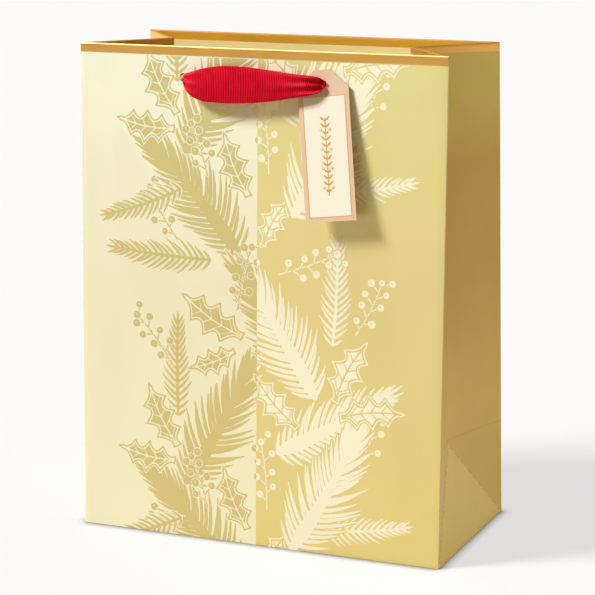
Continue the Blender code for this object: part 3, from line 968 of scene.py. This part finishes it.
def make_gather(name, body, face, stations, replaced=None):
    """Gathered ribbon as a pleated bundle. Each station is how far across, up and out of the face
    its middle is, with its half width and half thickness there, in millimetres."""
    curve, _ = smooth_rows(stations, 8 * len(stations), 3)
    spots = np.array([face.at(x * MM, y * MM, z * MM) for x, y, z, _, _ in curve])
    along = np.gradient(spots, axis=0)
    along /= np.linalg.norm(along, axis=1, keepdims=True)
    grid = []
    for spot, forward, (*_, wide, thick) in zip(spots, along, curve):
        side = np.cross(forward, face.out)
        if np.linalg.norm(side) < 0.3:
            side = np.array(face.across)
        side /= np.linalg.norm(side)
        up = np.cross(side, forward)
        ring = []
        for a in np.linspace(0, 2 * pi, GATHER_POINTS, endpoint=False):
            pleat = 1 + 0.13 * sin(6 * a)
            ring.append(spot + (side * cos(a) * wide + up * sin(a) * thick) * pleat * MM)
        grid.append(ring)
    points = np.array(grid).reshape(-1, 3)
    ends = [range(GATHER_POINTS), range(len(points) - GATHER_POINTS, len(points))]
    bundle = add_mesh(name, points, ring_faces(len(grid), GATHER_POINTS) + ends, [RED], None, 40)
    face_outwards(bundle)
    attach(bundle, body)
    if replaced:
        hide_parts(replaced)


make_gather("ribbon_in_tag_hole", "tag_neck", FRONT,
            [(TAG_AT, AXIS_AT, 2.8, 1.0, 1.0), (TAG_AT, AXIS_AT, 1.9, 1.2, 1.0),
             (TAG_AT, AXIS_AT, 1.1, 1.3, 1.0)], "front_ribbon_neck")
make_gather("ribbon_behind_tag", "front", FRONT,
            [(TAG_AT, AXIS_AT, 0.75, 1.2, 0.4), (TAG_AT + 2.5, AXIS_AT, 0.62, 1.6, 0.45),
             (HOLE_AT - 2, AXIS_AT, 0.6, 1.6, 0.5), (HOLE_AT, AXIS_AT, -1.4, 1.8, 1.2)])


def make_tail(node, body, face):
    """The ribbon's end inside the bag: it comes through the hole pleated lengthwise, spreads a
    little as it hangs, and is drawn together again at the knot."""
    knot_low, knot_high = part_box(f"{node}_knot")
    middle = (knot_low + knot_high) / 2
    x = (middle - face.origin).dot(face.across)
    wide = (knot_high.x - knot_low.x) * 0.8
    bottom = (Vector((middle.x, middle.y, knot_high.z)) - face.origin).dot(face.up) - 1 * MM
    back = (middle - face.origin).dot(face.out)
    top = HOLE_HEIGHT + 1.5 * MM
    grid = np.zeros((TAIL_ROWS, TAIL_COLUMNS, 3))
    for i, t in enumerate(np.linspace(0, 1, TAIL_ROWS)):
        height = top + (bottom - top) * t
        spread = 0.30 + 0.70 * min(1, t * 3.2) ** 0.8 - 0.45 * max(0, (t - 0.86) / 0.14) ** 1.5
        through = min(1, t / 0.05)
        out = -0.9 * MM + (back + 2.2 * MM + 0.9 * MM) * through**0.5
        rib = 0.08 * MM * sin(i * pi / 2)
        for j, u in enumerate(np.linspace(-1, 1, TAIL_COLUMNS)):
            fold = 1.0 * MM * cos(5 * pi * u) * (0.3 + 0.7 * through)
            sway = 0.5 * MM * sin(7 * t + 2 * u)
            grid[i, j] = face.at(x + wide / 2 * spread * u + sway, height, out + fold + rib)
    tail = shell(f"{node}_tail", grid[:, ::-1], RIBBON_THICKNESS * 0.8, [RED], lambda i, j: 0, 0, 60)
    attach(tail, body)
    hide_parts(f"{node}_ribbon_tail")


def make_knot(node, body):
    """A tied knot: a ball in the CAD knot's box, with lobes that wind round it."""
    low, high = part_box(f"{node}_knot")
    middle, radii = np.array((low + high) / 2), np.array((high - low) / 2)
    points = []
    for polar in np.linspace(0, pi, KNOT_BANDS + 1):
        for turn in np.linspace(0, 2 * pi, KNOT_POINTS, endpoint=False):
            lobe = 1 + 0.10 * sin(2 * turn + 3.2 * polar) + 0.035 * sin(14 * polar + 3 * turn)
            ball = (sin(polar) * cos(turn), sin(polar) * sin(turn), cos(polar))
            points.append(middle + np.array(ball) * radii * lobe * 0.90)
    faces = ring_faces(KNOT_BANDS + 1, KNOT_POINTS)
    knot = add_mesh(f"{node}_tied_knot", points, faces, [RED], None, 60)
    face_outwards(knot, merge=0.01 * MM)
    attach(knot, body)
    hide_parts(f"{node}_knot")


for body, face in (("front", FRONT), ("back", BACK)):
    for side in ("left", "right"):
        make_tail(f"{body}_{side}", body, face)
        make_knot(f"{body}_{side}", body)


# --- tag ---
TAG_UP = (TAG_TOP - TAG_HOLE).normalized()
TAG = Face(TAG_HOLE, TAG_UP.cross(TAG_OUT), TAG_UP)
TAG_ABOVE = (TAG_TOP - TAG_HOLE).length / MM
TAG_SIZE = (35.0, 97.0)
TAG_CHAMFER = 11.8
TAG_HOLE_RADIUS = 2.6
TAG_HALF = 0.25                     # half the card's thickness
TAG_CELL = 0.2
PANEL_INSET = 2.9                   # of the cream panel, from the card's sides and foot
PANEL_TOP = -7.8
SPRIG_MARGIN = 14


def make_tag():
    """A blush card with cut corners, an outlined cream panel and a gold sprig down it."""
    side, bottom = TAG_SIZE[0] / 2, TAG_ABOVE - TAG_SIZE[1]
    shoulder = side - TAG_CHAMFER
    sheet = Drawing((-side - 1, bottom - 1), (side + 1, TAG_ABOVE + 1), TAG_CELL)
    _, x, y = sheet.whole()
    card = polygon_field(x, y, np.array([(-side, bottom), (side, bottom),
                                         (side, TAG_ABOVE - TAG_CHAMFER), (shoulder, TAG_ABOVE),
                                         (-shoulder, TAG_ABOVE), (-side, TAG_ABOVE - TAG_CHAMFER)]))
    card = np.minimum(card, np.hypot(x, y) - TAG_HOLE_RADIUS)
    edge = side - PANEL_INSET
    low = bottom + PANEL_INSET
    panel = polygon_field(x, y, np.array([(-edge, low), (edge, low), (edge, PANEL_TOP),
                                          (-edge, PANEL_TOP)]))
    outline = 0.28 - np.abs(panel - 0.1)

    sprig = Drawing(sheet.low, (side + 1, TAG_ABOVE + 1), TAG_CELL)
    foot, tip = low + SPRIG_MARGIN, PANEL_TOP - SPRIG_MARGIN
    sprig.stroke((0, foot), (0, tip), 0.35, 0.3)
    for i, t in enumerate(np.linspace(0.04, 0.96, 12)):
        level = foot + (tip - foot) * t
        for hand in (-1, 1):
            way = heading(90 - hand * 48)
            size = 4.6 if i % 3 else 3.0
            root, middle, end = (np.array([0, level]) + way * size * part for part in (0, 0.5, 1))
            sprig.stroke(root, middle, 0.22, 0.72)
            sprig.stroke(middle, end, 0.72, 0.15)
            if i % 3 == 0:
                draw_berry(sprig, *(end + way * 1.1), 0.95)

    def place(x, y, height):
        return TAG.at(x * MM, y * MM, height * MM)

    # Each layer with its lower and upper face, over the card's front.
    layers = (("tag_paper", card, -2 * TAG_HALF, 0, BLUSH), ("tag_panel", panel, -0.02, 0.03, TAG_CREAM),
              ("tag_outline", outline, -0.01, 0.05, TAG_GOLD),
              ("tag_sprig", np.minimum(sprig.ink, panel), 0.01, 0.07, TAG_GOLD))
    for name, field, under, over, finish in layers:
        piece = inlay(name, field, sheet.low, TAG_CELL, place, TAG_HALF + under, TAG_HALF + over, finish)
        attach(piece, "tag")
        if name == "tag_paper":
            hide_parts("tag_card")


make_tag()


# --- CAD pieces that keep their shape ---
for node, piece in frame["nodes"].items():
    is_board = node.endswith("_card") or node == "base_board"
    if is_board or node.startswith("bottom") or node == "side_seam_flap":
        piece.data.materials.clear()
        piece.data.materials.append(BOARD if is_board else WHITE)


# --- stage ---
CAMERA_AZIMUTH = math.radians(23.09)
CAMERA_ELEVATION = math.radians(12.03)
CAMERA_ROLL = math.radians(-0.28)
CAMERA_DISTANCE = 1.489
LENS = 131.6
LENS_SHIFT = (0.0065, -0.0231)
FLOOR_SIZE = 12                     # from its middle to a side, in metres
FLOOR_GAP = 0.2 * MM                # below the bag
FLOOR_COLOUR, FLOOR_GLOW = (0.213, 0.208, 0.200), (0.650, 0.652, 0.678)
BOUNCED_COLOUR, BOUNCED_GLOW = (0.213, 0.160, 0.070), (0.17, 0.10, 0.01)
CONTACT_SHADOW = 9 * MM             # how far out from the bag the floor's glow fades
WORLD_COLOUR, WORLD_STRENGTH = (1, 0.78, 0.36), 0.23


def make_camera():
    target = Vector((0, 0, LENGTH / 2))
    level = cos(CAMERA_ELEVATION)
    away = Vector((sin(CAMERA_AZIMUTH) * level, -cos(CAMERA_AZIMUTH) * level,
                   sin(CAMERA_ELEVATION)))
    data = bpy.data.cameras.new("camera")
    data.lens = LENS
    data.shift_x, data.shift_y = LENS_SHIFT
    camera = add_object("camera", data)
    camera.location = target + away * CAMERA_DISTANCE
    turn = (-away).to_track_quat("-Z", "Y").to_matrix() @ Matrix.Rotation(CAMERA_ROLL, 3, "Z")
    camera.rotation_euler = turn.to_euler()
    bpy.context.scene.camera = camera


def floor_finish():
    """White paper that glows, so that the shadow on it stays faint. It throws only a little warm
    light on the bag, and the glow fades where the bag stands on it."""
    made = Finish("floor", FLOOR_COLOUR, 0.9)
    near = made.node("ShaderNodeAmbientOcclusion", samples=8)
    made.set(near, Distance=CONTACT_SHADOW)
    contact = made.ranged(near.outputs["AO"], 0.5, 0.95, 0.05, 1.0)
    bounced = made.node("ShaderNodeLightPath").outputs["Is Diffuse Ray"]
    made.link(made.mixed(bounced, FLOOR_COLOUR, BOUNCED_COLOUR), made.shader.inputs["Base Color"])
    made.link(made.mixed(bounced, FLOOR_GLOW, BOUNCED_GLOW), made.shader.inputs["Emission Color"])
    made.link(contact, made.shader.inputs["Emission Strength"])
    return made.material


def make_light(name, energy, spread, colour, to_light):
    sun = bpy.data.lights.new(name, "SUN")
    sun.energy = energy
    sun.angle = math.radians(spread)
    sun.color = colour
    add_object(name, sun).rotation_euler = Vector(to_light).to_track_quat("Z", "Y").to_euler()


def make_stage():
    bm = bmesh.new()
    bmesh.ops.create_grid(bm, x_segments=2, y_segments=2, size=FLOOR_SIZE)
    floor = add_bmesh("floor", bm)
    floor.location.z = -FLOOR_GAP
    floor.data.materials.append(floor_finish())

    world = bpy.data.worlds.new("studio")
    world.use_nodes = True
    background = world.node_tree.nodes["Background"].inputs
    background["Color"].default_value = (*WORLD_COLOUR, 1)
    background["Strength"].default_value = WORLD_STRENGTH
    bpy.context.scene.world = world

    make_light("key", 5.05, 15, (1, 0.99, 0.965), (-0.617, -0.435, 0.653))
    make_light("fill", 1.0, 70, (1, 0.98, 0.94), (0.59, 0.75, 0.30))


make_camera()
make_stage()
bpy.context.scene.view_settings.view_transform = "Standard"
